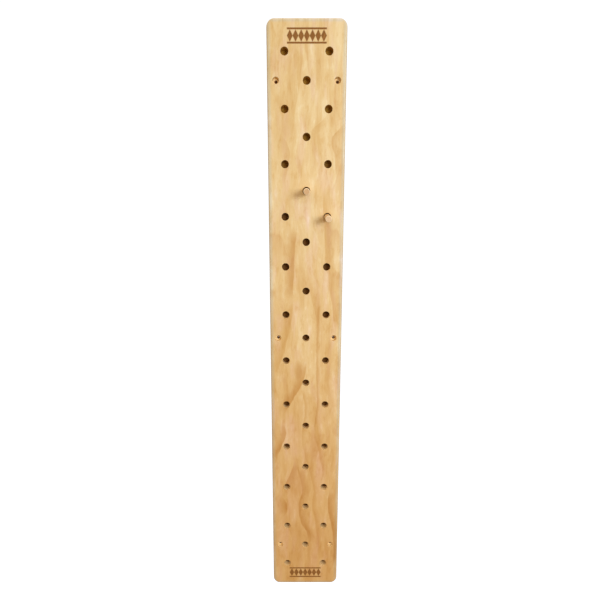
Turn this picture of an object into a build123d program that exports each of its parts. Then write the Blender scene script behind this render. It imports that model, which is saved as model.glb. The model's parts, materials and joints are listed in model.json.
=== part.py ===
from build123d import *
import os
from math import cos, radians, sin

# Wall-mounted climbing peg board: one tall plywood board with three columns of blind peg holes,
# six counterbored screw holes for the wall, and two loose wooden pegs.
# Millimetres. Origin: centre of the board's back face. +Z is up and +Y runs into the wall,
# so the front face is at y = -BOARD_THICKNESS.

# board
BOARD_HEIGHT = 2400.0
BOARD_WIDTH = 300.0
BOARD_THICKNESS = 36.0
CORNER_RADIUS = 30.0
FRONT_ROUNDOVER = 9.0
BACK_CHAMFER = 1.5

# peg holes: outer columns of 12, and a centre column of 11 half a pitch lower
ROW_PITCH = 198.0
OUTER_ROWS = 12
CENTRE_ROWS = 11
COLUMN_X = 84.0
PEG_HOLE_DIA = 30.0
PEG_HOLE_DEPTH = 32.0
PEG_HOLE_EASE = 1.0

# screw holes for the wall, level with the top, middle and bottom holes of the centre column
SCREW_X = 117.0
SCREW_Z = (990.0, 0.0, -990.0)
SCREW_HEAD_DIA = 25.0
SCREW_HEAD_DEPTH = 18.0
SCREW_CLEAR_DIA = 4.5
SCREW_SINK_DIA = 11.0
SCREW_HEAD_EASE = 0.8

# burnt-in ornament at each end: a row of lozenges between two plain rules
MARK_DEPTH = 0.6
MARK_Z = 1140.0
LOZENGE_COUNT = 7
LOZENGE_PITCH = 21.0
LOZENGE_WIDTH = 20.0
LOZENGE_HEIGHT = 38.0
RULE_WIDTH = 146.0
RULE_HEIGHT = 5.0
RULE_OFFSET = 23.5

# pegs: loose dowels that droop in their holes
PEG_DIA = 25.0
PEG_LENGTH = 120.0
PEG_CHAMFER = 2.0
PEG_DROOP_DEG = 8.0
PEG_INNER_END = 6.0     # from the back face to the peg's inner end
CENTRE_PEG_ROW = 2      # third hole from the top of the centre column
RIGHT_PEG_ROW = 3       # fourth hole from the top of the right column

FRONT = Plane(origin=(0, -BOARD_THICKNESS, 0), x_dir=(1, 0, 0), z_dir=(0, -1, 0))
INTO_BOARD = (Align.CENTER, Align.CENTER, Align.MAX)


def column_z(rows):
    """Hole heights of one column, from the top down, centred on the board."""
    top = ROW_PITCH * (rows - 1) / 2
    return [top - ROW_PITCH * row for row in range(rows)]


def peg_hole_centres():
    outer, centre = column_z(OUTER_ROWS), column_z(CENTRE_ROWS)
    return ([(-COLUMN_X, z) for z in outer] + [(0.0, z) for z in centre]
            + [(COLUMN_X, z) for z in outer])


def screw_centres():
    return [(side * SCREW_X, z) for z in SCREW_Z for side in (-1, 1)]


def round_cut(x, z, diameter, depth):
    return FRONT * Pos(x, z, 0) * Cylinder(diameter / 2, depth, align=INTO_BOARD)


def countersink():
    """Cutter for the cone that seats a flat screw head in the recess."""
    big, small = SCREW_SINK_DIA / 2, SCREW_CLEAR_DIA / 2
    return Cone(small, big, big - small, align=INTO_BOARD)


def front_rims(body, diameter):
    """The circular edges of one diameter that lie in the front face."""
    rings = body.edges().filter_by(GeomType.CIRCLE)
    return [e for e in rings if abs(e.radius - diameter / 2) < 1e-6
            and abs(e.arc_center.Y + BOARD_THICKNESS) < 1e-6]


def ornament():
    """Cutter for one burnt mark, standing upright at the board's centre."""
    shapes = Sketch()
    for side in (-1, 1):
        shapes += Pos(0, side * RULE_OFFSET) * Rectangle(RULE_WIDTH, RULE_HEIGHT)
    half_w, half_h = LOZENGE_WIDTH / 2, LOZENGE_HEIGHT / 2
    for i in range(LOZENGE_COUNT):
        x = (i - (LOZENGE_COUNT - 1) / 2) * LOZENGE_PITCH
        corners = [(half_w, 0), (0, half_h), (-half_w, 0), (0, -half_h)]
        shapes += Pos(x, 0) * Polygon(*corners, align=None)
    return extrude(shapes, -MARK_DEPTH)


def make_board():
    outline = RectangleRounded(BOARD_WIDTH, BOARD_HEIGHT, CORNER_RADIUS)
    body = extrude(Plane.XZ * outline, BOARD_THICKNESS)
    body = fillet(body.faces().sort_by(Axis.Y)[0].edges(), FRONT_ROUNDOVER)
    body = chamfer(body.faces().sort_by(Axis.Y)[-1].edges(), BACK_CHAMFER)
    cuts = [round_cut(x, z, PEG_HOLE_DIA, PEG_HOLE_DEPTH) for x, z in peg_hole_centres()]
    for x, z in screw_centres():
        cuts.append(round_cut(x, z, SCREW_HEAD_DIA, SCREW_HEAD_DEPTH))
        cuts.append(round_cut(x, z, SCREW_CLEAR_DIA, BOARD_THICKNESS))
        cuts.append(FRONT * Pos(x, z, -SCREW_HEAD_DEPTH) * countersink())
    mark = ornament()
    cuts.append(FRONT * Pos(0, MARK_Z) * mark)
    cuts.append(FRONT * Pos(0, -MARK_Z) * Rot(0, 0, 180) * mark)
    body = body - cuts
    body = fillet(front_rims(body, PEG_HOLE_DIA), PEG_HOLE_EASE)
    return fillet(front_rims(body, SCREW_HEAD_DIA), SCREW_HEAD_EASE)


def make_peg(x, z):
    """A dowel leaning down out of its hole, its axis crossing the hole's axis at mid grip."""
    rod = Cylinder(PEG_DIA / 2, PEG_LENGTH, align=(Align.CENTER, Align.CENTER, Align.MIN))
    rod = chamfer(rod.edges().filter_by(GeomType.CIRCLE), PEG_CHAMFER)
    droop = radians(PEG_DROOP_DEG)
    grip = (BOARD_THICKNESS - PEG_HOLE_EASE - PEG_INNER_END) / 2
    mid_y = -(PEG_INNER_END + grip)
    out = Vector(0, -cos(droop), -sin(droop))
    inner_end = Vector(x, mid_y, z) - out * (grip / cos(droop))
    return Plane(origin=inner_end, x_dir=(1, 0, 0), z_dir=out) * rod


def make_parts():
    return {
        "board": make_board(),
        "peg_centre": make_peg(0.0, column_z(CENTRE_ROWS)[CENTRE_PEG_ROW]),
        "peg_right": make_peg(COLUMN_X, column_z(OUTER_ROWS)[RIGHT_PEG_ROW]),
    }


os.makedirs("parts", exist_ok=True)
for name, shape in make_parts().items():
    export_step(shape, f"parts/{name}.step")
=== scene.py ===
import json
from math import cos, pi, radians, sin

import bpy
from mathutils import Matrix, Vector
from mathutils.geometry import delaunay_2d_cdt


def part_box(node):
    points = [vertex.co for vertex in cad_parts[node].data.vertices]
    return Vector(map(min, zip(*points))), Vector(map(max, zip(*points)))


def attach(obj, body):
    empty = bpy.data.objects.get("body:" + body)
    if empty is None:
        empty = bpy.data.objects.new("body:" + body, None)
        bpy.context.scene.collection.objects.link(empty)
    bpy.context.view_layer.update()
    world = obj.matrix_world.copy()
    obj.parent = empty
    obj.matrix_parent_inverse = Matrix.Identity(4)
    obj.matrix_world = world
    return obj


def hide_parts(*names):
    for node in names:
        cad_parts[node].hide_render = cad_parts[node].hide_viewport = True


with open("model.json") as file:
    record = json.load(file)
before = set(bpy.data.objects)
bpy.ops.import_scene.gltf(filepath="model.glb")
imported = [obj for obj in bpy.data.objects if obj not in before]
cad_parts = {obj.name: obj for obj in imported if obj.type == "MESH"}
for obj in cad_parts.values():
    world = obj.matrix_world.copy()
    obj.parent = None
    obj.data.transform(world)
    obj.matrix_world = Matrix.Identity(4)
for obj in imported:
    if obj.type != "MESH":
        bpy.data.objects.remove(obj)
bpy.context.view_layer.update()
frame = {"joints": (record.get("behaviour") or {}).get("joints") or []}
scene = bpy.context.scene
board_low, board_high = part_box("board")

# ---------------------------------------------------------------- sizes, metres, as in the CAD
HALF_W = (board_high.x - board_low.x) / 2
HALF_H = (board_high.z - board_low.z) / 2
FRONT_Y = board_low.y
BACK_Y = board_high.y
CORNER_R = 0.030
ROUNDOVER = 0.009
BACK_CHAMFER = 0.0015

ROW_PITCH = 0.198
COLUMN_X = 0.084
OUTER_ROWS, CENTRE_ROWS = 12, 11
PEG_HOLE_R, PEG_HOLE_DEPTH, PEG_HOLE_EASE = 0.015, 0.032, 0.001
SCREW_X, SCREW_ROW_Z = 0.117, 0.990
SCREW_HEAD_R, SCREW_HEAD_DEPTH, SCREW_HEAD_EASE = 0.0125, 0.018, 0.0008
SCREW_SINK_R, SCREW_CLEAR_R = 0.0055, 0.00225

MARK_DEPTH, MARK_Z = 0.0006, 1.140
LOZENGES, LOZENGE_PITCH = 7, 0.021
LOZENGE_HALF_W, LOZENGE_HALF_H = 0.010, 0.019
RULE_HALF_W, RULE_HALF_H, RULE_OFFSET = 0.073, 0.0025, 0.0235

PEG_R, PEG_LENGTH, PEG_CHAMFER = 0.0125, 0.120, 0.002
CENTRE_PEG_ROW, RIGHT_PEG_ROW = 2, 3    # the holes that hold the pegs, counted from the top

# how finely curves and flats are divided
HOLE_SIDES, PEG_SIDES = 48, 56
EASE_STEPS, ROUNDOVER_STEPS, CORNER_STEPS = 4, 8, 10
SIDE_STEPS, END_STEPS, PEG_STEPS = 39, 4, 14
GRID, GRID_FROM_EDGE, GRID_FROM_HOLE = 0.030, 0.018, 0.006

WOOD, CHAR = 0, 1    # the board's material slots


# ---------------------------------------------------------------- mesh building
class Shell:
    """A closed mesh made face by face, with its own normal at every face corner."""

    def __init__(self):
        self.points, self.faces, self.normals, self.slots = [], [], [], []

    def add(self, points):
        start = len(self.points)
        self.points += [Vector(p) for p in points]
        return list(range(start, len(self.points)))

    def face(self, ids, normals, slot=WOOD):
        self.faces.append(ids)
        self.normals += normals
        self.slots.append(slot)

    def band(self, a, b, normals_a, normals_b):
        """Quads between two rings of the same length."""
        n = len(a)
        for i in range(n):
            j = (i + 1) % n
            self.face([a[i], b[i], b[j], a[j]],
                      [normals_a[i], normals_b[i], normals_b[j], normals_a[j]])

    def fan(self, ring, centre, normal):
        (middle,) = self.add([centre])
        n = len(ring)
        for i in range(n):
            self.face([middle, ring[i], ring[(i + 1) % n]], [normal] * 3)

    def object(self, name, materials):
        mesh = bpy.data.meshes.new(name)
        mesh.from_pydata([tuple(p) for p in self.points], [], self.faces)
        for material in materials:
            mesh.materials.append(material)
        mesh.polygons.foreach_set("material_index", self.slots)
        mesh.polygons.foreach_set("use_smooth", [True] * len(self.faces))
        mesh.update()
        mesh.normals_split_custom_set([tuple(n.normalized()) for n in self.normals])
        piece = bpy.data.objects.new(name, mesh)
        scene.collection.objects.link(piece)
        return piece


TO_FRONT, TO_BACK = Vector((0, -1, 0)), Vector((0, 1, 0))


def spokes(n):
    """Unit vectors round a circle in the board's plane, anticlockwise from the front."""
    return [Vector((cos(2 * pi * i / n), 0, sin(2 * pi * i / n))) for i in range(n)]


def outline(inset):
    """(points, outward normals) of the board's rounded rectangle, drawn in by inset."""
    radius = CORNER_R - inset
    cx, cz = HALF_W - CORNER_R, HALF_H - CORNER_R
    points, normals = [], []
    corners = [(cx, cz, 0), (-cx, cz, 90), (-cx, -cz, 180), (cx, -cz, 270)]
    for n, (x, z, start) in enumerate(corners):
        for i in range(CORNER_STEPS + 1):
            a = radians(start + 90 * i / CORNER_STEPS)
            out = Vector((cos(a), 0, sin(a)))
            points.append(Vector((x, 0, z)) + out * radius)
            normals.append(out)
        here, out = points[-1], normals[-1]
        nx, nz, _ = corners[(n + 1) % 4]
        there = Vector((nx, 0, nz)) + out * radius
        steps = END_STEPS if n % 2 == 0 else SIDE_STEPS
        for i in range(1, steps):
            points.append(here.lerp(there, i / steps))
            normals.append(out)
    return points, normals


def at_depth(points, y):
    return [Vector((p.x, y, p.z)) for p in points]


def loose_grid(inside_hole):
    """Points that break up the flat between the holes, in rows set half a step apart."""
    spots = []
    for row in range(int(2 * HALF_H / GRID)):
        z = -HALF_H + GRID * (row + 0.5)
        for column in range(-5, 6):
            x = GRID * (column + 0.25 + 0.5 * (row % 2))
            inside = abs(x) < HALF_W - GRID_FROM_EDGE and abs(z) < HALF_H - GRID_FROM_EDGE
            if inside and not inside_hole(x, z, GRID_FROM_HOLE):
                spots.append(Vector((x, z)))
    return spots


def flat_between(shell, outer, holes, inside_hole, y, normal):
    """Triangles between an outer loop and the loops of its holes, over a loose grid."""
    loops = [outer] + holes
    flat, ids, edges = [], [], []
    for loop in loops:
        start = len(flat)
        flat += [Vector((shell.points[i].x, shell.points[i].z)) for i in loop]
        ids += loop
        edges += [(start + i, start + (i + 1) % len(loop)) for i in range(len(loop))]
    extra = loose_grid(inside_hole)
    ids += shell.add([(p.x, y, p.y) for p in extra])
    flat += extra
    points, _, faces, origin, _, _ = delaunay_2d_cdt(flat, edges, [], 0, 1e-7)
    for a, b, c in faces:
        middle = (points[a] + points[b] + points[c]) / 3
        if inside_hole(middle.x, middle.y, 0.0):
            continue
        turn = (points[b] - points[a]).cross(points[c] - points[a])
        if abs(turn) < 1e-12:
            continue
        corner = [ids[origin[i][0]] for i in (a, b, c)]
        if (turn > 0) != (normal.y < 0):
            corner.reverse()
        shell.face(corner, [normal] * 3)


def column_z(rows):
    return [ROW_PITCH * ((rows - 1) / 2 - row) for row in range(rows)]


PEG_HOLES = ([(-COLUMN_X, z) for z in column_z(OUTER_ROWS)]
             + [(0.0, z) for z in column_z(CENTRE_ROWS)]
             + [(COLUMN_X, z) for z in column_z(OUTER_ROWS)])
SCREW_HOLES = [(side * SCREW_X, z) for z in (SCREW_ROW_Z, 0, -SCREW_ROW_Z) for side in (-1, 1)]


def mark_shapes():
    """Loops of both burnt ornaments, anticlockwise from the front."""
    shapes = []
    for turn in (1, -1):
        for i in range(LOZENGES):
            x = (i - (LOZENGES - 1) / 2) * LOZENGE_PITCH
            corners = [(LOZENGE_HALF_W, 0), (0, LOZENGE_HALF_H),
                       (-LOZENGE_HALF_W, 0), (0, -LOZENGE_HALF_H)]
            shapes.append([(turn * (x + a), turn * (MARK_Z + b)) for a, b in corners])
        corners = [(RULE_HALF_W, -RULE_HALF_H), (RULE_HALF_W, RULE_HALF_H),
                   (-RULE_HALF_W, RULE_HALF_H), (-RULE_HALF_W, -RULE_HALF_H)]
        for offset in (RULE_OFFSET, -RULE_OFFSET):
            shapes.append([(turn * a, turn * (MARK_Z + offset + b)) for a, b in corners])
    return shapes


MARKS = mark_shapes()


def in_polygon(x, z, corners, margin):
    """True inside a convex anticlockwise polygon grown by margin."""
    for (ax, az), (bx, bz) in zip(corners, corners[1:] + corners[:1]):
        length = ((bx - ax) ** 2 + (bz - az) ** 2) ** 0.5
        if ((bx - ax) * (z - az) - (bz - az) * (x - ax)) / length < -margin:
            return False
    return True


def in_circle(x, z, centres, radius):
    """True inside any of these circles, but not on the rim."""
    return any((x - cx) ** 2 + (z - cz) ** 2 < radius ** 2 * 0.999 for cx, cz in centres)


def in_front_cut(x, z, margin):
    return (in_circle(x, z, PEG_HOLES, PEG_HOLE_R + PEG_HOLE_EASE + margin)
            or in_circle(x, z, SCREW_HOLES, SCREW_HEAD_R + SCREW_HEAD_EASE + margin)
            or any(in_polygon(x, z, corners, margin) for corners in MARKS))


def in_back_cut(x, z, margin):
    return in_circle(x, z, SCREW_HOLES, SCREW_CLEAR_R + margin)


def hole_ring(shell, cx, cz, radius, y, out):
    return shell.add([Vector((cx, y, cz)) + s * radius for s in out])


def eased_mouth(shell, cx, cz, radius, ease, out):
    """Rings from the front face over an eased rim down to the start of a hole's wall."""
    rings, tilts = [], []
    for i in range(EASE_STEPS + 1):
        a = radians(90 * i / EASE_STEPS)
        rings.append(hole_ring(shell, cx, cz, radius + ease * (1 - sin(a)),
                               FRONT_Y + ease * (1 - cos(a)), out))
        tilts.append([TO_FRONT * cos(a) - s * sin(a) for s in out])
    for i in range(EASE_STEPS):
        shell.band(rings[i + 1], rings[i], tilts[i + 1], tilts[i])
    return rings[0], rings[-1]


def wall_down(shell, cx, cz, top, radius, y, out):
    """The straight wall of a hole, from the ring at its top down to depth y."""
    inward = [-s for s in out]
    foot = hole_ring(shell, cx, cz, radius, y, out)
    shell.band(foot, top, inward, inward)
    return foot


def board_edge(shell):
    """The edge from the front face round to the back: (loop in the front, loop in the back)."""
    rings, tilts = [], []
    for i in range(ROUNDOVER_STEPS + 1):
        a = radians(90 * i / ROUNDOVER_STEPS)
        points, normals = outline(ROUNDOVER * (1 - sin(a)))
        rings.append(shell.add(at_depth(points, FRONT_Y + ROUNDOVER * (1 - cos(a)))))
        tilts.append([TO_FRONT * cos(a) + n * sin(a) for n in normals])
    for i in range(ROUNDOVER_STEPS):
        shell.band(rings[i], rings[i + 1], tilts[i], tilts[i + 1])
    points, normals = outline(0)
    foot = shell.add(at_depth(points, BACK_Y - BACK_CHAMFER))
    shell.band(rings[-1], foot, normals, normals)
    slant = [n + TO_BACK for n in normals]
    points, _ = outline(BACK_CHAMFER)
    back_edge = shell.add(at_depth(points, BACK_Y))
    shell.band(foot, back_edge, slant, slant)
    return rings[0], back_edge


def peg_hole(shell, cx, cz, out):
    """A blind hole, with the dimple that the drill's point leaves in its floor; gives its mouth."""
    dimple_r, dimple_depth = 0.0022, 0.0012
    level = [TO_FRONT] * HOLE_SIDES
    mouth, top = eased_mouth(shell, cx, cz, PEG_HOLE_R, PEG_HOLE_EASE, out)
    floor_y = FRONT_Y + PEG_HOLE_DEPTH
    foot = wall_down(shell, cx, cz, top, PEG_HOLE_R, floor_y, out)
    dimple = hole_ring(shell, cx, cz, dimple_r, floor_y, out)
    shell.band(dimple, foot, level, level)
    shell.fan(dimple, (cx, floor_y + dimple_depth, cz), TO_FRONT)
    return mouth


def screw_hole(shell, cx, cz, out):
    """A recess, a countersink and a clearance hole; gives its loops in the front and the back."""
    level = [TO_FRONT] * HOLE_SIDES
    mouth, top = eased_mouth(shell, cx, cz, SCREW_HEAD_R, SCREW_HEAD_EASE, out)
    seat_y = FRONT_Y + SCREW_HEAD_DEPTH
    foot = wall_down(shell, cx, cz, top, SCREW_HEAD_R, seat_y, out)
    lip = hole_ring(shell, cx, cz, SCREW_SINK_R, seat_y, out)
    shell.band(lip, foot, level, level)
    sink = [TO_FRONT - s for s in out]
    throat_y = seat_y + SCREW_SINK_R - SCREW_CLEAR_R
    throat = hole_ring(shell, cx, cz, SCREW_CLEAR_R, throat_y, out)
    shell.band(throat, lip, sink, sink)
    return mouth, wall_down(shell, cx, cz, throat, SCREW_CLEAR_R, BACK_Y, out)


def burnt_mark(shell, corners):
    """A shallow flat-floored shape burnt into the front; gives its mouth."""
    mouth = shell.add([(x, FRONT_Y, z) for x, z in corners])
    floor = shell.add([(x, FRONT_Y + MARK_DEPTH, z) for x, z in corners])
    n = len(corners)
    for i in range(n):
        j = (i + 1) % n
        along = shell.points[mouth[j]] - shell.points[mouth[i]]
        inward = Vector((-along.z, 0, along.x))
        shell.face([mouth[i], mouth[j], floor[j], floor[i]], [inward] * 4, CHAR)
    shell.face(floor, [TO_FRONT] * n, CHAR)
    return mouth


def make_board(materials):
    shell = Shell()
    out = spokes(HOLE_SIDES)
    front_edge, back_edge = board_edge(shell)
    front_loops = [peg_hole(shell, cx, cz, out) for cx, cz in PEG_HOLES]
    back_loops = []
    for cx, cz in SCREW_HOLES:
        mouth, exit_loop = screw_hole(shell, cx, cz, out)
        front_loops.append(mouth)
        back_loops.append(exit_loop)
    front_loops += [burnt_mark(shell, corners) for corners in MARKS]
    flat_between(shell, front_edge, front_loops, in_front_cut, FRONT_Y, TO_FRONT)
    flat_between(shell, back_edge, back_loops, in_back_cut, BACK_Y, TO_BACK)
    return shell.object("plywood_board", materials)


def make_peg(name, node, joint, material):
    """A turned dowel with softened chamfers, lying where the CAD peg lies."""
    shell = Shell()
    turns = [2 * pi * i / PEG_SIDES for i in range(PEG_SIDES)]
    out = [Vector((cos(a), sin(a), 0)) for a in turns]
    soft = 0.0006    # how far the chamfer's two edges are rounded
    r, c, length = PEG_R, PEG_CHAMFER, PEG_LENGTH
    # radius, height and the normal's outward and upward shares, from the inner end to the outer
    half = [
        (r - c - soft, 0.0, 0.0, -1.0),
        (r - c + soft * 0.2, soft * 0.25, 0.38, -0.92),
        (r - c + soft, soft * 1.15, 0.70, -0.70),
        (r - soft * 1.1, c - soft * 0.9, 0.72, -0.68),
        (r - soft * 0.3, c - soft * 0.1, 0.92, -0.38),
        (r, c + soft, 1.0, 0.0),
    ]
    profile = list(half)
    for i in range(1, PEG_STEPS):
        profile.append((r, c + soft + (length - 2 * (c + soft)) * i / PEG_STEPS, 1.0, 0.0))
    profile += [(a, length - h, u, -v) for a, h, u, v in reversed(half)]
    rings = [shell.add([s * a + Vector((0, 0, h)) for s in out]) for a, h, _, _ in profile]
    tilts = [[s * u + Vector((0, 0, v)) for s in out] for _, _, u, v in profile]
    for i in range(len(rings) - 1):
        shell.band(rings[i + 1], rings[i], tilts[i + 1], tilts[i])
    shell.fan(list(reversed(rings[0])), (0, 0, 0), Vector((0, 0, -1)))
    shell.fan(rings[-1], (0, 0, length), Vector((0, 0, 1)))
    piece = shell.object(name, [material])
    low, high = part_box(node)
    axis = Vector(joint["axis"]).normalized()
    across = Vector((1, 0, 0))
    up = axis.cross(across)
    start = (low + high) / 2 - axis * (length / 2)
    turn = Matrix((across, up, axis)).transposed().to_4x4()
    piece.matrix_world = Matrix.Translation(start) @ turn
    return piece


# ---------------------------------------------------------------- materials
def linear(r, g, b):
    """A display colour, 0 to 255, as scene-linear RGBA."""
    def one(v):
        v /= 255
        return v / 12.92 if v <= 0.04045 else ((v + 0.055) / 1.055) ** 2.4
    return (one(r), one(g), one(b), 1.0)


class Net:
    """Short words for shader nodes."""

    def __init__(self, name):
        self.material = bpy.data.materials.new(name)
        self.material.use_nodes = True
        self.tree = self.material.node_tree
        self.tree.nodes.clear()
        self.output = self.node("ShaderNodeOutputMaterial")

    def node(self, kind, **settings):
        made = self.tree.nodes.new(kind)
        for key, value in settings.items():
            setattr(made, key, value)
        return made

    def plug(self, socket, value):
        if isinstance(value, bpy.types.NodeSocket):
            self.tree.links.new(value, socket)
        elif value is not None:
            socket.default_value = value

    def math(self, operation, a, b=None, c=None, clamp=False):
        made = self.node("ShaderNodeMath", operation=operation, use_clamp=clamp)
        for socket, value in zip(made.inputs, (a, b, c)):
            self.plug(socket, value)
        return made.outputs[0]

    def times(self, result, *factors):
        for factor in factors:
            result = self.math("MULTIPLY", result, factor)
        return result

    def minus(self, a, b):
        return self.math("SUBTRACT", a, b)

    def length(self, a, b):
        """Length of the vector (a, b)."""
        return self.math("SQRT", self.math("MULTIPLY_ADD", a, a, self.times(b, b)))

    def mix(self, amount, a, b, blend="MIX"):
        made = self.node("ShaderNodeMix", data_type="RGBA", blend_type=blend)
        self.plug(made.inputs[0], amount)
        self.plug(made.inputs[6], a)
        self.plug(made.inputs[7], b)
        return made.outputs[2]

    def tint(self, amount, colour, factor):
        return self.mix(amount, colour, factor, blend="MULTIPLY")

    def step(self, value, low, high, to_low=0.0, to_high=1.0):
        made = self.node("ShaderNodeMapRange", interpolation_type="SMOOTHSTEP")
        for socket, x in zip(made.inputs, (value, low, high, to_low, to_high)):
            self.plug(socket, x)
        return made.outputs[0]

    def split(self, vector):
        made = self.node("ShaderNodeSeparateXYZ")
        self.plug(made.inputs[0], vector)
        return made.outputs

    def join(self, x, y, z):
        made = self.node("ShaderNodeCombineXYZ")
        for socket, value in zip(made.inputs, (x, y, z)):
            self.plug(socket, value)
        return made.outputs[0]

    def noise(self, vector, scale=1.0, detail=2.0, rough=0.5):
        made = self.node("ShaderNodeTexNoise")
        self.plug(made.inputs["Vector"], vector)
        self.plug(made.inputs["Scale"], scale)
        self.plug(made.inputs["Detail"], detail)
        self.plug(made.inputs["Roughness"], rough)
        return made.outputs[0]

    def stretched(self, spot, cycles, **settings):
        """Noise with so many cycles per metre along x, y and z."""
        scaled = [self.times(value, count) for value, count in zip(spot, cycles)]
        return self.noise(self.join(*scaled), **settings)

    def ramp(self, value, stops):
        made = self.node("ShaderNodeValToRGB")
        bar = made.color_ramp
        while len(bar.elements) < len(stops):
            bar.elements.new(0.5)
        for element, (at, colour) in zip(bar.elements, stops):
            element.position = at
            element.color = colour
        self.plug(made.inputs[0], value)
        return made.outputs[0]

    def here(self):
        return self.node("ShaderNodeTexCoord").outputs["Object"]

    def surface(self, colour, roughness, height, bump, specular=0.4, distance=0.0004):
        shader = self.node("ShaderNodeBsdfPrincipled")
        self.plug(shader.inputs["Base Color"], colour)
        self.plug(shader.inputs["Roughness"], roughness)
        shader.inputs["Specular IOR Level"].default_value = specular
        if height is not None:
            made = self.node("ShaderNodeBump")
            made.inputs["Strength"].default_value = bump
            made.inputs["Distance"].default_value = distance
            self.plug(made.inputs["Height"], height)
            self.tree.links.new(made.outputs[0], shader.inputs["Normal"])
        self.tree.links.new(shader.outputs[0], self.output.inputs[0])
        return self.material


def grey(v):
    return (v, v, v, 1.0)


# Growth bands of the face veneer. Each is a line down the board, as (z, x) in mm,
# with a late-wood tone that fades away from its crisp side over a width (negative: to the left).
BANDS = [
    ([(1100, -15), (980, -25), (900, -40), (820, -50), (760, -60)], -75, "tan", 0.75),
    ([(960, -140), (895, -105), (830, -95), (780, -105), (700, -120)], 45, "tan", 0.45),
    ([(800, -100), (760, -70), (700, -65), (640, -80), (610, -85)], -35, "amber", 0.55),
    ([(705, -10), (660, -15), (620, -15)], -10, "tan", 1.00),
    ([(890, 90), (850, 60), (815, 20), (790, 15)], 60, "tan", 0.60),
    ([(850, 150), (815, 120), (790, 100), (720, 110), (640, 120)], 45, "amber", 0.75),
    ([(600, 65), (480, 70), (320, 80), (165, 105), (25, 120)], 40, "tan", 0.95),
    ([(450, -35), (370, -45), (270, -50), (165, -55)], -45, "amber", 0.95),
    ([(165, -55), (80, -60), (10, -75), (-70, -95), (-160, -125)], -55, "tan", 1.00),
    ([(260, 10), (180, 20), (120, 35), (60, 45)], 25, "tan", 0.70),
    ([(160, 50), (-110, 45), (-340, 45), (-420, 30)], 15, "amber", 0.75),
    ([(-95, 5), (-200, -15), (-280, -60), (-340, -95)], -50, "amber", 1.00),
    ([(-215, -30), (-260, -10), (-340, -5), (-440, -15), (-515, -10)], 15, "tan", 0.95),
    ([(-385, -100), (-435, -85), (-490, -105), (-560, -130)], -40, "amber", 1.00),
    ([(-420, 30), (-530, 60), (-650, 80)], 30, "tan", 1.00),
    ([(-560, -50), (-600, -60), (-670, -85), (-735, -105)], 35, "amber", 0.85),
    ([(-585, -45), (-715, -15), (-780, -30), (-870, -20), (-920, 5), (-975, 15)],
     35, "amber", 0.80),
    ([(-470, -20), (-590, 10), (-700, 35), (-780, 30), (-870, 45), (-1075, 65)], 25, "tan", 0.75),
    ([(-735, -110), (-780, -85), (-815, -85), (-850, -105)], -45, "amber", 1.00),
    ([(-700, 110), (-740, 105), (-800, 105), (-945, 130), (-1105, 130)], 35, "amber", 1.00),
    ([(-860, -110), (-930, -70), (-1000, -65), (-1090, -70)], 110, "tan", 0.70),
]
CRISP_EDGE = 0.0020    # half the width of a band's crisp side
# Softer patches: centre x and z, half width and half height in mm
PATCHES = [
    (20, 960, 35, 170, "pale", 0.70),
    (5, 515, 15, 85, "pink", 0.80),
    (-120, 560, 25, 90, "pale", 0.50),
    (110, 560, 35, 110, "pale", 0.45),
    (-15, 330, 20, 130, "pale", 0.40),
    (60, 700, 40, 70, "pale", 0.45),
    (-35, -140, 20, 45, "amber", 0.55),
    (120, -250, 25, 110, "pink", 0.45),
    (-5, 60, 45, 150, "pale", 0.45),
    (-65, -455, 45, 110, "pink", 0.90),
    (65, -640, 30, 150, "pink", 0.80),
    (-55, -790, 30, 100, "pink", 0.80),
    (-105, -950, 30, 110, "pink", 0.90),
    (50, -990, 20, 110, "pink", 0.60),
]
# Each tone is what the ground colour is multiplied by
TONES = {
    "pale": (1.08, 1.17, 1.36, 1.0),
    "tan": (0.89, 0.80, 0.65, 1.0),
    "amber": (0.80, 0.65, 0.46, 1.0),
    "pink": (1.02, 1.01, 1.20, 1.0),
}


def long_noise(net, x, z, along_x, along_z, seed, detail=2.0, rough=0.5):
    """Noise in the board's plane, with so many cycles per metre along x and z."""
    return net.noise(net.join(net.times(x, along_x), seed, net.times(z, along_z)),
                     detail=detail, rough=rough)


def band_line(net, z, points):
    """(x in metres of a given line at this height, 0 to 1 fade at the line's two ends)."""
    top, bottom = points[0][0] * 0.001, points[-1][0] * 0.001
    along = net.math("DIVIDE", net.minus(z, bottom), top - bottom, clamp=True)
    made = net.node("ShaderNodeFloatCurve")
    curve = made.mapping.curves[0]
    spots = [((pz * 0.001 - bottom) / (top - bottom), (px + 200) / 400) for pz, px in points]
    spots.reverse()
    while len(curve.points) < len(spots):
        curve.points.new(0.5, 0.5)
    for point, spot in zip(curve.points, spots):
        point.location = spot
    made.mapping.update()
    net.plug(made.inputs["Value"], along)
    line = net.math("MULTIPLY_ADD", made.outputs[0], 0.4, -0.2)
    ends = net.times(net.step(z, bottom - 0.012, bottom + 0.055),
                     net.step(z, top + 0.012, top - 0.055))
    return line, ends


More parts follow.
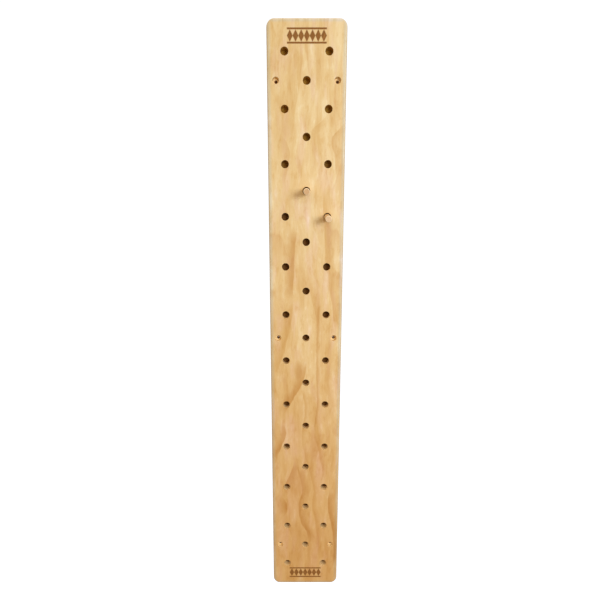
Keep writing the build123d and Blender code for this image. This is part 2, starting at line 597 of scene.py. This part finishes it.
def face_veneer(net, true_x, true_z, back):
    """Rotary-cut softwood: (colour, height, fibres) of the front sheet, or the plain back one."""
    x = net.math("MULTIPLY_ADD", back, 0.9, true_x)
    z = net.math("MULTIPLY_ADD", back, 3.7, true_z)
    # the grain wanders slowly, and feathers where fibres run past a band's edge
    wander = long_noise(net, x, z, 6.0, 3.0, 2.3)
    wave = long_noise(net, x, z, 20.0, 13.0, 4.1)
    feather = long_noise(net, x, z, 260.0, 14.0, 6.7, detail=3.0, rough=0.65)
    placed = net.math("MULTIPLY_ADD", net.minus(wave, 0.5), 0.012, x)
    placed = net.math("MULTIPLY_ADD", net.minus(feather, 0.5), 0.007, placed)
    bent = net.math("MULTIPLY_ADD", net.minus(wander, 0.5), 0.060, placed)

    # ground colour, darker and warmer towards the foot of the board: painted shade, as the light
    # falls off down the board
    down = net.step(true_z, HALF_H, -HALF_H)
    face = net.ramp(down, [(0.0, linear(235, 204, 147)), (0.5, linear(230, 193, 133)),
                           (1.0, linear(219, 170, 105))])
    cloud = long_noise(net, bent, z, 22.0, 3.4, 9.2, detail=3.0, rough=0.6)
    face = net.tint(net.step(cloud, 0.50, 0.70, 0.0, 0.95), face, TONES["pale"])
    face = net.tint(net.step(cloud, 0.49, 0.30, 0.0, 0.90), face, TONES["tan"])
    blush = long_noise(net, bent, z, 30.0, 7.0, 12.8)
    face = net.tint(net.step(blush, 0.50, 0.68, 0.0, 0.90), face, TONES["pink"])
    mottle = long_noise(net, bent, z, 60.0, 22.0, 15.5, detail=3.0, rough=0.6)
    face = net.tint(net.step(mottle, 0.52, 0.72, 0.0, 0.75), face, TONES["tan"])
    face = net.tint(net.step(mottle, 0.48, 0.28, 0.0, 0.75), face, TONES["pale"])
    for cx, cz, half_w, half_h, tone, strength in PATCHES:
        # neither these nor the bands reach the back sheet, whose x and z are out of their range
        across = net.math("DIVIDE", net.minus(placed, cx * 0.001), half_w * 0.001)
        up = net.math("DIVIDE", net.minus(z, cz * 0.001), half_h * 0.001)
        far = net.math("MULTIPLY_ADD", across, across, net.times(up, up))
        face = net.tint(net.step(far, 1.4, 0.0, 0.0, strength), face, TONES[tone])
    for points, width, tone, strength in BANDS:
        line, ends = band_line(net, z, points)
        off = net.math("DIVIDE", net.minus(placed, line), width * 0.001)
        crisp = CRISP_EDGE / abs(width * 0.001)
        amount = net.times(net.step(off, -crisp, crisp), net.step(off, 1.15, 0.05), ends, strength)
        face = net.tint(amount, face, TONES[tone])

    # faint growth lines between the bands, as level lines of a long soft field
    field = long_noise(net, bent, z, 7.0, 0.9, 1.7, detail=1.0, rough=0.4)
    lines = net.math("FRACT", net.times(field, 15.0))
    late = net.ramp(lines, [(0.0, grey(0.0)), (0.40, grey(0.05)), (0.82, grey(0.75)),
                            (0.94, grey(1.0)), (1.0, grey(0.0))])
    hush = long_noise(net, x, z, 9.0, 4.0, 8.4)
    late = net.times(late, net.step(hush, 0.42, 0.68, 0.05, 0.80))
    face = net.mix(net.times(late, 0.40), face, linear(206, 152, 92))

    # fibres and short dark pores along the grain
    fibre = long_noise(net, bent, z, 640.0, 11.0, 2.0, detail=4.0, rough=0.6)
    fleck = net.step(long_noise(net, x, z, 1300.0, 60.0, 5.0), 0.66, 0.78)
    face = net.mix(net.step(fibre, 0.35, 0.70, 0.0, 0.20), face, linear(198, 148, 90))
    face = net.mix(net.times(fleck, 0.30), face, linear(150, 98, 50))
    height = net.math("ADD", net.times(fibre, 0.5), net.times(late, 0.25))
    return face, net.minus(height, net.times(fleck, 0.5)), fibre


def scorch(net, x, z):
    """How much heat browned the wood just outside the burnt ornaments."""
    ax = net.math("ABSOLUTE", x)
    from_mark = net.math("ABSOLUTE", net.minus(net.math("ABSOLUTE", z), MARK_Z))
    cell = net.math("DIVIDE", net.math("PINGPONG", ax, LOZENGE_PITCH / 2), LOZENGE_HALF_W)
    rise = net.math("DIVIDE", from_mark, LOZENGE_HALF_H)
    lozenge = net.step(net.math("ADD", cell, rise), 1.30, 0.98)
    gap = net.math("ABSOLUTE", net.minus(from_mark, RULE_OFFSET))
    rule = net.step(gap, RULE_HALF_H + 0.0024, RULE_HALF_H)
    singe = long_noise(net, x, z, 160.0, 90.0, 1.0)
    return net.times(net.math("MAXIMUM", lozenge, rule),
                     net.step(ax, RULE_HALF_W + 0.003, RULE_HALF_W - 0.001),
                     net.step(singe, 0.2, 0.7, 0.40, 0.85))


PLY = (BACK_Y - FRONT_Y) / 13    # thickness of one of the laminate's 13 sheets
EDGE_BAND = 0.012    # an inner sheet this near the outline shows in the outer edge, not in a hole
# Inner sheets in holes, and greyer ones in the outer edge: each time the light
# and dark of long grain, then of cross grain
BORED_TONES = (((240, 208, 152), (226, 190, 132)), ((224, 184, 126), (202, 160, 104)))
EDGE_TONES = (((230, 208, 168), (214, 190, 146)), ((200, 170, 124), (172, 140, 96)))
# A band of the face along the edge is greyed, and the roundover is painted pale, as painted light
# where it turns
# from the front into shade: distances from the outline where each starts and is full, and what it
# multiplies the colour by
EDGE_GREY_AND_PAINTED_LIGHT = ((0.019, 0.007, (0.87, 1.00, 1.32, 1.0)), (0.008, 0.003, (1.16, 1.16, 1.18, 1.0)))


def inner_sheets(net, spot, depth, within):
    """(colour, glue lines, where they show) of the sheets between the front and back ones."""
    count = net.math("ADD", net.math("DIVIDE", depth, PLY), 0.03)
    sheet = net.math("FLOOR", count)
    crossed = net.math("MODULO", sheet, 2.0)
    shown = net.times(net.math("MINIMUM", sheet, 1.0),
                      net.step(spot[1], BACK_Y - 0.0006, BACK_Y - 0.0010))
    along = net.step(net.stretched(spot, (700.0, 700.0, 16.0), detail=3.0), 0.3, 0.7)
    across = net.step(net.stretched(spot, (900.0, 900.0, 900.0)), 0.3, 0.7)
    edge, bored = [
        net.mix(crossed, net.mix(along, linear(*long[0]), linear(*long[1])),
                net.mix(across, linear(*cross[0]), linear(*cross[1])))
        for long, cross in (EDGE_TONES, BORED_TONES)]
    colour = net.mix(within, edge, bored)
    chance = net.node("ShaderNodeTexWhiteNoise", noise_dimensions="1D")
    net.plug(chance.inputs["W"], sheet)
    colour = net.mix(net.times(chance.outputs[0], 0.25), colour, linear(216, 182, 132))
    glue = net.step(net.math("FRACT", count), 0.91, 0.96)
    return net.mix(net.times(glue, 0.55), colour, linear(122, 84, 50)), glue, shown


HOLE_DARK_FROM, HOLE_DARK_TO = 0.022, 0.031    # depths over which painted shade darkens a hole's whole wall
PEGGED_HOLES = ((0.0, column_z(CENTRE_ROWS)[CENTRE_PEG_ROW]),
                (COLUMN_X, column_z(OUTER_ROWS)[RIGHT_PEG_ROW]))
PEGGED_R = 0.018    # takes in the eased mouth of a hole
PEGGED_LIGHT_FULL, PEGGED_LIGHT_END = 0.007, 0.012    # depths over which the painted light in the mouth of such a hole ends


def in_pegged_mouth(net, x, z, depth):
    """1 in the mouths of the two holes that hold pegs."""
    inside = []
    for cx, cz in PEGGED_HOLES:
        far = net.length(net.minus(x, cx), net.minus(z, cz))
        inside.append(net.math("LESS_THAN", far, PEGGED_R))
    return net.times(net.math("MAXIMUM", *inside), net.step(depth, PEGGED_LIGHT_END, PEGGED_LIGHT_FULL))


def from_screw_axis(net, ax, az):
    """Distance from the nearest screw hole's axis, given x and z without their signs."""
    rise = net.math("MINIMUM", az, net.math("ABSOLUTE", net.minus(az, SCREW_ROW_Z)))
    return net.length(net.minus(ax, SCREW_X), rise)


def hole_painted_light_and_shade(net, colour, spot, depth, within, bare):
    """The colour with the painted light and shade of the holes on it."""
    x, y, z = spot
    # painted light: the lower wall of each hole, which faces the light from above, is painted
    # bright
    facing = net.split(net.node("ShaderNodeTexCoord").outputs["Normal"])[2]
    lower_wall_painted_light = net.times(net.step(facing, 0.02, 0.45), net.step(depth, 0.0006, 0.0020), within)
    colour = net.mix(net.times(lower_wall_painted_light, 0.92), colour, linear(255, 216, 154))
    # painted light round the mouths of the two holes that hold pegs, against the shade in the gap
    # round each peg
    pegged_mouth_painted_light = in_pegged_mouth(net, x, z, depth)
    colour = net.mix(net.times(pegged_mouth_painted_light, bare, 0.80), colour, linear(255, 236, 198))
    # the screw recesses are painted light as well, against the shade in them
    off = from_screw_axis(net, net.math("ABSOLUTE", x), net.math("ABSOLUTE", z))
    recess = net.math("LESS_THAN", off, SCREW_HEAD_R + 0.0002)
    colour = net.mix(net.times(recess, bare, 0.75), colour, linear(254, 226, 170))

    # painted shade: the walls darken with depth, and all along their upper side, where light from
    # above doesn't reach;
    # the shade is painted lighter in the top holes, and little of it in the screw recesses
    upper_wall_painted_shade = net.times(net.step(facing, -0.05, -0.50), net.step(depth, 0.0004, 0.0030))
    hole_painted_shade = net.math("MAXIMUM", net.step(depth, HOLE_DARK_FROM, HOLE_DARK_TO), upper_wall_painted_shade)
    hole_painted_shade = net.times(hole_painted_shade, within, net.math("LESS_THAN", y, BACK_Y - 0.002),
                     net.minus(1.0, net.times(lower_wall_painted_light, 0.95)), net.minus(1.0, pegged_mouth_painted_light),
                     net.math("MULTIPLY_ADD", recess, -0.65, 1.0))
    painted_shade_colour = net.mix(net.step(z, 0.40 * HALF_H, 0.80 * HALF_H),
                    linear(100, 60, 0), linear(160, 116, 24))
    colour = net.mix(net.times(hole_painted_shade, 0.95), colour, painted_shade_colour)

    # the countersunk seat of each screw, and its clearance hole, are painted dark brown: painted
    # shade for the hole's dark core
    seat_painted_shade = net.times(net.step(off, SCREW_SINK_R + 0.0012, SCREW_SINK_R),
                     net.math("GREATER_THAN", depth, SCREW_HEAD_DEPTH - 0.0004),
                     net.math("LESS_THAN", y, BACK_Y - 0.0005))
    return net.mix(net.times(seat_painted_shade, 0.94), colour, linear(104, 56, 6))


def plywood():
    net = Net("plywood")
    spot = net.split(net.here())
    x, y, z = spot
    ax, az = net.math("ABSOLUTE", x), net.math("ABSOLUTE", z)
    back = net.math("GREATER_THAN", y, BACK_Y - 0.004)
    front = net.math("LESS_THAN", back, 0.5)
    depth = net.minus(y, FRONT_Y)
    within = net.times(net.math("LESS_THAN", ax, HALF_W - EDGE_BAND),
                       net.math("LESS_THAN", az, HALF_H - EDGE_BAND))

    face, face_height, fibre = face_veneer(net, x, z, back)
    face = net.mix(net.times(scorch(net, x, z), front), face, linear(156, 104, 52))
    # a grey band along the edge, and painted light on the roundover
    for start, full, tone in EDGE_GREY_AND_PAINTED_LIGHT:
        band = net.math("MAXIMUM", net.step(ax, HALF_W - start, HALF_W - full),
                        net.step(az, HALF_H - start, HALF_H - full))
        face = net.tint(net.times(band, front), face, tone)
    inner, glue, shown = inner_sheets(net, spot, depth, within)
    bare = net.times(within, shown)
    colour = hole_painted_light_and_shade(net, net.mix(shown, face, inner), spot, depth, within, bare)

    roughness = net.math("MULTIPLY_ADD", bare, 0.34, net.step(fibre, 0.3, 0.8, 0.42, 0.58))
    height = net.minus(face_height, net.times(glue, shown, 0.6))
    return net.surface(colour, roughness, height, 0.35, specular=0.30, distance=0.0003)


def charred():
    net = Net("charred_wood")
    x, y, z = net.split(net.here())
    crust = net.stretched((x, y, z), (420.0, 420.0, 60.0), detail=5.0, rough=0.65)
    patch = long_noise(net, x, z, 45.0, 45.0, 2.0)
    colour = net.mix(net.step(crust, 0.30, 0.72), linear(122, 76, 32), linear(164, 112, 56))
    colour = net.mix(net.step(patch, 0.35, 0.75, 0.0, 0.6), colour, linear(146, 94, 40))
    return net.surface(colour, net.step(crust, 0.3, 0.7, 0.62, 0.82), crust, 0.6,
                       specular=0.2, distance=0.0004)


# both ends of each peg; those of the one in the centre column are darker
END_TONES = [linear(206, 158, 112), linear(236, 200, 162)]
RING_WIDTH = 0.0021    # from one growth ring to the next


def dowel(seed):
    """Sanded dowel: straight grain along local Z, growth rings showing on both ends."""
    net = Net(f"dowel_{seed}")
    x, y, z = net.split(net.here())
    warp = net.noise(net.join(net.times(x, 60.0), net.times(y, 60.0),
                              net.math("ADD", net.times(z, 6.0), seed * 3.1)))
    warp = net.times(net.minus(warp, 0.5), 0.0035)
    pith = net.length(net.math("ADD", x, 0.003 + 0.002 * seed), net.minus(y, 0.002))
    rings = net.math("FRACT", net.math("DIVIDE", net.math("ADD", pith, warp), RING_WIDTH))
    late = net.ramp(rings, [(0.0, grey(0.0)), (0.5, grey(0.15)),
                            (0.88, grey(1.0)), (1.0, grey(0.1))])
    fibre = net.stretched((x, y, z), (1500.0, 1500.0, 22.0), detail=3.0, rough=0.6)
    pore = net.step(net.stretched((x, y, z), (2600.0, 2600.0, 90.0), detail=1.0), 0.66, 0.76)
    end = net.math("MAXIMUM", net.step(z, PEG_CHAMFER * 0.9, PEG_CHAMFER * 0.1),
                   net.step(z, PEG_LENGTH - PEG_CHAMFER * 0.9, PEG_LENGTH - PEG_CHAMFER * 0.1))
    colour = net.mix(net.times(late, 0.55), linear(232, 196, 146), linear(204, 152, 98))
    colour = net.mix(net.step(fibre, 0.35, 0.7, 0.0, 0.30), colour, linear(196, 146, 92))
    colour = net.mix(net.times(pore, 0.45), colour, linear(140, 94, 54))
    colour = net.mix(net.times(end, 0.50), colour, END_TONES[seed])
    # painted light: the outer chamfer is painted pale, where its slope would fall in shade
    chamfer_painted_light = net.times(net.step(net.length(x, y), PEG_R - 0.0024, PEG_R - 0.0018),
                      net.step(z, PEG_LENGTH - 0.0026, PEG_LENGTH - 0.0018))
    colour = net.mix(net.times(chamfer_painted_light, 0.75), colour, linear(250, 226, 186))
    height = net.minus(net.times(fibre, 0.6), net.times(pore, 0.7))
    return net.surface(colour, net.step(fibre, 0.3, 0.8, 0.48, 0.66), height, 0.35,
                       specular=0.3, distance=0.0002)


# ---------------------------------------------------------------- the object
board = make_board([plywood(), charred()])
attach(board, "board")
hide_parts("board")

joints = {joint["child"]: joint for joint in frame["joints"]}
for seed, body in enumerate(("peg_centre", "peg_right")):
    peg = make_peg(f"{body}_dowel", body, joints[body], dowel(seed))
    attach(peg, body)
    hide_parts(body)

# ---------------------------------------------------------------- studio
FLOOR_GAP = 0.45    # the board hangs on a wall, clear of the floor
SKY_COLOUR = (1.0, 0.89, 0.75, 1.0)
SKY_ABOVE, SKY_BELOW = 1.00, 0.32
SKY_SEEN = 1.05     # the sky as the camera sees it; the lines above say how it lights the object
FLOOR_HALF = 6.0
# bluish, so that under the warm sky the floor comes to white and no more
FLOOR_GLOW, FLOOR_GLOW_COLOUR = 0.42, (0.35, 0.60, 1.0, 1.0)


def studio_floor():
    mesh = bpy.data.meshes.new("studio_floor")
    corners = [(-1, -1), (1, -1), (1, 1), (-1, 1)]
    z = board_low.z - FLOOR_GAP
    mesh.from_pydata([(FLOOR_HALF * x, FLOOR_HALF * y, z) for x, y in corners],
                     [], [(0, 1, 2, 3)])
    floor = bpy.data.objects.new("studio_floor", mesh)
    scene.collection.objects.link(floor)
    net = Net("pale_floor")
    mottle = net.noise(net.here(), scale=3.0, detail=3.0)
    colour = net.mix(mottle, linear(244, 244, 243), linear(250, 250, 249))
    net.surface(colour, 0.9, None, 0.0, specular=0.1)
    shader = next(n for n in net.tree.nodes if n.type == "BSDF_PRINCIPLED")
    shader.inputs["Emission Color"].default_value = FLOOR_GLOW_COLOUR
    shader.inputs["Emission Strength"].default_value = FLOOR_GLOW
    mesh.materials.append(net.material)
    # the glowing floor is only there to be seen; the sky below the horizon lights the object
    floor.visible_diffuse = False
    floor.visible_glossy = False


def area_light(name, place, target, size, watts, colour):
    data = bpy.data.lights.new(name, "AREA")
    data.shape = "DISK"
    data.size = size
    data.energy = watts
    data.color = colour
    lamp = bpy.data.objects.new(name, data)
    lamp.location = place
    lamp.rotation_euler = (Vector(target) - Vector(place)).to_track_quat("-Z", "Y").to_euler()
    scene.collection.objects.link(lamp)


def studio_world():
    """Soft light that is stronger from above than from below, against a white sky."""
    world = bpy.data.worlds.new("studio")
    scene.world = world
    world.use_nodes = True
    tree = world.node_tree
    link = tree.links.new
    sky = tree.nodes["Background"]
    sky.inputs[0].default_value = SKY_COLOUR
    way = tree.nodes.new("ShaderNodeSeparateXYZ")
    link(tree.nodes.new("ShaderNodeTexCoord").outputs["Generated"], way.inputs[0])
    glow = tree.nodes.new("ShaderNodeMapRange")
    glow.interpolation_type = "SMOOTHSTEP"
    for socket, value in zip(glow.inputs, (None, -0.5, 0.6, SKY_BELOW, SKY_ABOVE)):
        if value is not None:
            socket.default_value = value
    link(way.outputs[2], glow.inputs[0])
    link(glow.outputs[0], sky.inputs[1])
    seen = tree.nodes.new("ShaderNodeBackground")
    seen.inputs[0].default_value = (1, 1, 1, 1)
    seen.inputs[1].default_value = SKY_SEEN
    rays = tree.nodes.new("ShaderNodeLightPath")
    choose = tree.nodes.new("ShaderNodeMixShader")
    link(rays.outputs["Is Camera Ray"], choose.inputs[0])
    link(sky.outputs[0], choose.inputs[1])
    link(seen.outputs[0], choose.inputs[2])
    link(choose.outputs[0], tree.nodes["World Output"].inputs[0])


studio_floor()
studio_world()
area_light("key", (1.75, -3.50, 0.72), (0, 0, 0.1), 1.3, 75, (0.92, 1.03, 1.15))
scene.view_settings.view_transform = "Standard"

# ---------------------------------------------------------------- camera
CAMERA_TILT = 11.747    # degrees below level

camera = bpy.data.objects.new("camera", bpy.data.cameras.new("camera"))
scene.collection.objects.link(camera)
camera.data.sensor_width = 36.0
camera.data.lens = 25.8
camera.data.shift_x = 0.0012
camera.data.shift_y = 0.0635
camera.location = (-0.0280, -1.8163, 0.3702)
camera.rotation_euler = (radians(90 - CAMERA_TILT), 0, 0)
scene.camera = camera
